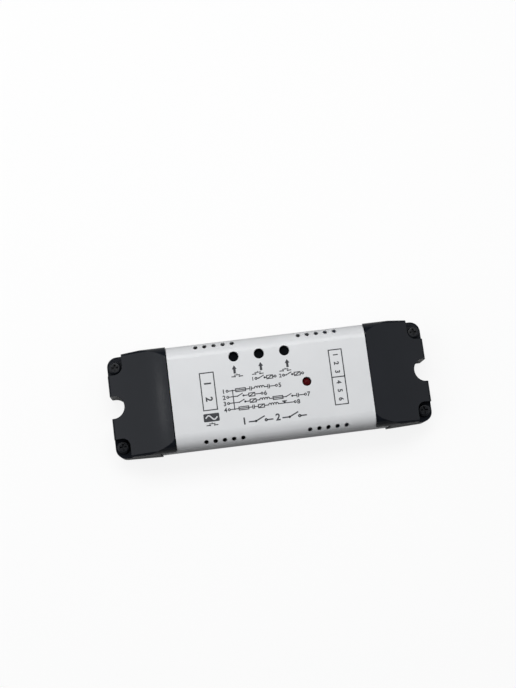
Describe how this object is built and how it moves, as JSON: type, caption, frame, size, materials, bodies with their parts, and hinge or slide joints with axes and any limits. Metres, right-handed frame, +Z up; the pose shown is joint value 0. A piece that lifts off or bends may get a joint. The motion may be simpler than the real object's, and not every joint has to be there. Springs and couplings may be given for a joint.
{
  "type": "smart relay module",
  "caption": "Flat mains relay module: white sleeve with recessed buttons, lamp and vents, and black screwed end covers over screw terminals, notched for mounting.",
  "frame": {"origin": "centre of the underside", "axes": "+X from the input end to the output end, +Y from the lamp and print towards the buttons, +Z up through the top with the buttons"},
  "size_m": [0.12, 0.0394, 0.022],
  "materials": {
    "white_housing": "satin, moulded ABS",
    "black_housing": "satin, moulded ABS",
    "black_steel": "blackened",
    "terminal_green": "moulded nylon",
    "tinned_brass": "tinned",
    "switch_black": "moulded",
    "plated_steel": "zinc or nickel plated",
    "lamp_red": "tinted clear epoxy",
    "bobbin_black": "moulded nylon",
    "ferrite": "sintered",
    "winding_tape": "polyester tape over copper wire",
    "can_sleeve": "shrink sleeve",
    "capacitor_yellow": "moulded box",
    "varistor_blue": "epoxy coat",
    "fuse_brown": "moulded can",
    "board_dark": "solder mask",
    "board_green": "solder mask",
    "relay_blue": "moulded case",
    "copper": "enamelled copper wire"
  },
  "bodies": {
    "case": {"sleeve": "white_housing", "input_base": "black_housing", "output_base": "black_housing", "input_terminal_block": "terminal_green", "output_terminal_block_1": "terminal_green", "output_terminal_block_2": "terminal_green", "terminal_bars": "tinned_brass", "switch_bodies": "switch_black", "switch_plates": "plated_steel", "status_lamp": "lamp_red", "lamp_leads": "plated_steel", "transformer_bobbin": "bobbin_black", "transformer_core": "ferrite", "transformer_winding": "winding_tape", "mains_capacitor": "can_sleeve", "output_capacitor": "can_sleeve", "noise_capacitor": "capacitor_yellow", "varistor": "varistor_blue", "fuse": "fuse_brown", "wireless_board": "board_dark", "wireless_shield": "plated_steel", "receiver_board": "board_green", "main_board": "board_green", "relay_1_case": "relay_blue", "relay_1_base": "bobbin_black", "relay_1_yoke": "plated_steel", "relay_1_bobbin": "bobbin_black", "relay_1_winding": "copper", "relay_1_contacts": "tinned_brass", "relay_2_case": "relay_blue", "relay_2_base": "bobbin_black", "relay_2_yoke": "plated_steel", "relay_2_bobbin": "bobbin_black", "relay_2_winding": "copper", "relay_2_contacts": "tinned_brass"},
    "reset_button": {"reset_button": "switch_black"},
    "manual_button_1": {"manual_button_1": "switch_black"},
    "manual_button_2": {"manual_button_2": "switch_black"},
    "input_cover": {"input_cover": "black_housing", "input_cover_screws": "black_steel"},
    "output_cover": {"output_cover": "black_housing", "output_cover_screws": "black_steel"},
    "relay_1_armature": {"relay_1_armature": "plated_steel"},
    "relay_2_armature": {"relay_2_armature": "plated_steel"},
    "terminal_screw_1": {"terminal_screw_1": "plated_steel"},
    "terminal_clamp_1": {"terminal_clamp_1": "plated_steel"},
    "terminal_screw_2": {"terminal_screw_2": "plated_steel"},
    "terminal_clamp_2": {"terminal_clamp_2": "plated_steel"},
    "terminal_screw_3": {"terminal_screw_3": "plated_steel"},
    "terminal_clamp_3": {"terminal_clamp_3": "plated_steel"},
    "terminal_screw_4": {"terminal_screw_4": "plated_steel"},
    "terminal_clamp_4": {"terminal_clamp_4": "plated_steel"},
    "terminal_screw_5": {"terminal_screw_5": "plated_steel"},
    "terminal_clamp_5": {"terminal_clamp_5": "plated_steel"},
    "terminal_screw_6": {"terminal_screw_6": "plated_steel"},
    "terminal_clamp_6": {"terminal_clamp_6": "plated_steel"},
    "terminal_screw_7": {"terminal_screw_7": "plated_steel"},
    "terminal_clamp_7": {"terminal_clamp_7": "plated_steel"},
    "terminal_screw_8": {"terminal_screw_8": "plated_steel"},
    "terminal_clamp_8": {"terminal_clamp_8": "plated_steel"}
  },
  "joints": [
    {"name": "reset_button_press", "type": "slide", "parent": "case", "child": "reset_button", "axis": [0, 0, -1], "range_m": [0, 0.00025], "stiffness_N_per_m": 2000, "springref_m": -0.0003},
    {"name": "manual_button_1_press", "type": "slide", "parent": "case", "child": "manual_button_1", "axis": [0, 0, -1], "range_m": [0, 0.00025], "stiffness_N_per_m": 2000, "springref_m": -0.0003},
    {"name": "manual_button_2_press", "type": "slide", "parent": "case", "child": "manual_button_2", "axis": [0, 0, -1], "range_m": [0, 0.00025], "stiffness_N_per_m": 2000, "springref_m": -0.0003},
    {"name": "input_cover_lift", "type": "slide", "parent": "case", "child": "input_cover", "axis": [0, 0, 1], "range_m": [0, 0.021]},
    {"name": "output_cover_lift", "type": "slide", "parent": "case", "child": "output_cover", "axis": [0, 0, 1], "range_m": [0, 0.021]},
    {"name": "relay_1_armature_pull", "type": "hinge", "parent": "case", "child": "relay_1_armature", "pos_m": [0.0196, -0.0079, 0.0162], "axis": [0, 1, 0], "range_deg": [0, 2.4], "stiffness_Nm_per_rad": 0.002, "springref_deg": -5.73},
    {"name": "relay_2_armature_pull", "type": "hinge", "parent": "case", "child": "relay_2_armature", "pos_m": [0.0196, 0.0079, 0.0162], "axis": [0, 1, 0], "range_deg": [0, 2.4], "stiffness_Nm_per_rad": 0.002, "springref_deg": -5.73},
    {"name": "terminal_screw_1_turn", "type": "hinge", "parent": "case", "child": "terminal_screw_1", "pos_m": [-0.0483, -0.0025, 0.013], "axis": [0, 0, -1], "range_deg": [0, 1121]},
    {"name": "terminal_clamp_1_rise", "type": "slide", "parent": "case", "child": "terminal_clamp_1", "axis": [0, 0, 1], "range_m": [0, 0.0014]},
    {"name": "terminal_screw_2_turn", "type": "hinge", "parent": "case", "child": "terminal_screw_2", "pos_m": [-0.0483, 0.0025, 0.013], "axis": [0, 0, -1], "range_deg": [0, 1121]},
    {"name": "terminal_clamp_2_rise", "type": "slide", "parent": "case", "child": "terminal_clamp_2", "axis": [0, 0, 1], "range_m": [0, 0.0014]},
    {"name": "terminal_screw_3_turn", "type": "hinge", "parent": "case", "child": "terminal_screw_3", "pos_m": [0.0483, -0.0125, 0.013], "axis": [0, 0, -1], "range_deg": [0, 1121]},
    {"name": "terminal_clamp_3_rise", "type": "slide", "parent": "case", "child": "terminal_clamp_3", "axis": [0, 0, 1], "range_m": [0, 0.0014]},
    {"name": "terminal_screw_4_turn", "type": "hinge", "parent": "case", "child": "terminal_screw_4", "pos_m": [0.0483, -0.0075, 0.013], "axis": [0, 0, -1], "range_deg": [0, 1121]},
    {"name": "terminal_clamp_4_rise", "type": "slide", "parent": "case", "child": "terminal_clamp_4", "axis": [0, 0, 1], "range_m": [0, 0.0014]},
    {"name": "terminal_screw_5_turn", "type": "hinge", "parent": "case", "child": "terminal_screw_5", "pos_m": [0.0483, -0.0025, 0.013], "axis": [0, 0, -1], "range_deg": [0, 1121]},
    {"name": "terminal_clamp_5_rise", "type": "slide", "parent": "case", "child": "terminal_clamp_5", "axis": [0, 0, 1], "range_m": [0, 0.0014]},
    {"name": "terminal_screw_6_turn", "type": "hinge", "parent": "case", "child": "terminal_screw_6", "pos_m": [0.0483, 0.0025, 0.013], "axis": [0, 0, -1], "range_deg": [0, 1121]},
    {"name": "terminal_clamp_6_rise", "type": "slide", "parent": "case", "child": "terminal_clamp_6", "axis": [0, 0, 1], "range_m": [0, 0.0014]},
    {"name": "terminal_screw_7_turn", "type": "hinge", "parent": "case", "child": "terminal_screw_7", "pos_m": [0.0483, 0.0075, 0.013], "axis": [0, 0, -1], "range_deg": [0, 1121]},
    {"name": "terminal_clamp_7_rise", "type": "slide", "parent": "case", "child": "terminal_clamp_7", "axis": [0, 0, 1], "range_m": [0, 0.0014]},
    {"name": "terminal_screw_8_turn", "type": "hinge", "parent": "case", "child": "terminal_screw_8", "pos_m": [0.0483, 0.0125, 0.013], "axis": [0, 0, -1], "range_deg": [0, 1121]},
    {"name": "terminal_clamp_8_rise", "type": "slide", "parent": "case", "child": "terminal_clamp_8", "axis": [0, 0, 1], "range_m": [0, 0.0014]}
  ],
  "couplings": [
    {"joint": "terminal_screw_1_turn", "follows": "terminal_clamp_1_rise", "rad_per_m": 13963},
    {"joint": "terminal_screw_2_turn", "follows": "terminal_clamp_2_rise", "rad_per_m": 13963},
    {"joint": "terminal_screw_3_turn", "follows": "terminal_clamp_3_rise", "rad_per_m": 13963},
    {"joint": "terminal_screw_4_turn", "follows": "terminal_clamp_4_rise", "rad_per_m": 13963},
    {"joint": "terminal_screw_5_turn", "follows": "terminal_clamp_5_rise", "rad_per_m": 13963},
    {"joint": "terminal_screw_6_turn", "follows": "terminal_clamp_6_rise", "rad_per_m": 13963},
    {"joint": "terminal_screw_7_turn", "follows": "terminal_clamp_7_rise", "rad_per_m": 13963},
    {"joint": "terminal_screw_8_turn", "follows": "terminal_clamp_8_rise", "rad_per_m": 13963}
  ]
}
